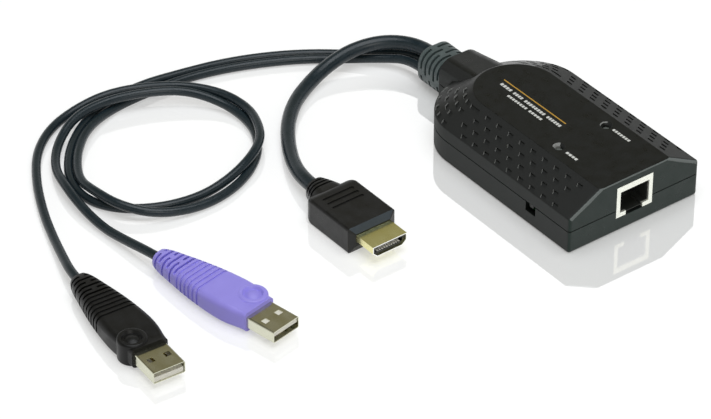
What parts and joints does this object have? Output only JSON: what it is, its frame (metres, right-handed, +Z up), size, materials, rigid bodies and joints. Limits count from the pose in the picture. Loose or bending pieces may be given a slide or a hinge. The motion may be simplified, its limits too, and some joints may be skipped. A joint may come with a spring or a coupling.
{
  "type": "kvm dongle",
  "caption": "Matt black moulded interface box with a network socket in its front, and a display plug and two USB plugs on captive cords from a ribbed gland.",
  "frame": {"origin": "on the surface that the box stands on, under the middle of the box with its cord gland", "axes": "+X out of the network socket in the front face, +Y to the left seen from behind the box, +Z up"},
  "size_m": [0.1696, 0.2113, 0.021],
  "materials": {
    "case": "fine matt texture",
    "gland": "satin",
    "cord": "satin",
    "grip_black": "satin",
    "grip_violet": "satin",
    "nickel": "bright nickel plate",
    "gold": "gold flash",
    "black_plastic": "satin",
    "white_plastic": "satin",
    "lead": "satin",
    "board": "solder mask",
    "chip": "matt",
    "lamp": "clear moulded",
    "light_pipe": "clear",
    "screw_steel": "zinc"
  },
  "bodies": {
    "dongle": {"top_cover": "case", "bottom_cover": "case", "cable_gland": "gland", "inner_leads": "lead", "circuit_board": "board", "main_chip": "chip", "video_chip": "chip", "memory_chip": "chip", "flash_chip": "chip", "network_transformer": "chip", "clock_crystal": "nickel", "power_capacitors": "nickel", "display_wire_header": "white_plastic", "usb_wire_header": "white_plastic", "power_lamp": "lamp", "link_lamp": "lamp", "power_light_pipe": "light_pipe", "link_light_pipe": "light_pipe", "network_socket_shield": "nickel", "network_socket_insert": "black_plastic", "network_socket_contacts": "gold", "recovery_switch_body": "black_plastic", "case_screws": "screw_steel", "hdmi_plug_grip": "grip_black", "hdmi_plug_shell": "gold", "hdmi_plug_insert": "black_plastic", "hdmi_plug_contacts": "gold", "usb_black_grip": "grip_black", "usb_black_shell": "nickel", "usb_black_insert": "white_plastic", "usb_black_contacts": "gold", "usb_violet_grip": "grip_violet", "usb_violet_shell": "nickel", "usb_violet_insert": "white_plastic", "usb_violet_contacts": "gold", "hdmi_cord": "cord", "usb_black_cord": "cord", "usb_violet_cord": "cord"},
    "recovery_knob": {"recovery_switch_knob": "white_plastic"}
  },
  "joints": [
    {"name": "recovery_slide", "type": "slide", "parent": "dongle", "child": "recovery_knob", "axis": [1, 0, 0], "range_m": [0, 0.002]}
  ]
}
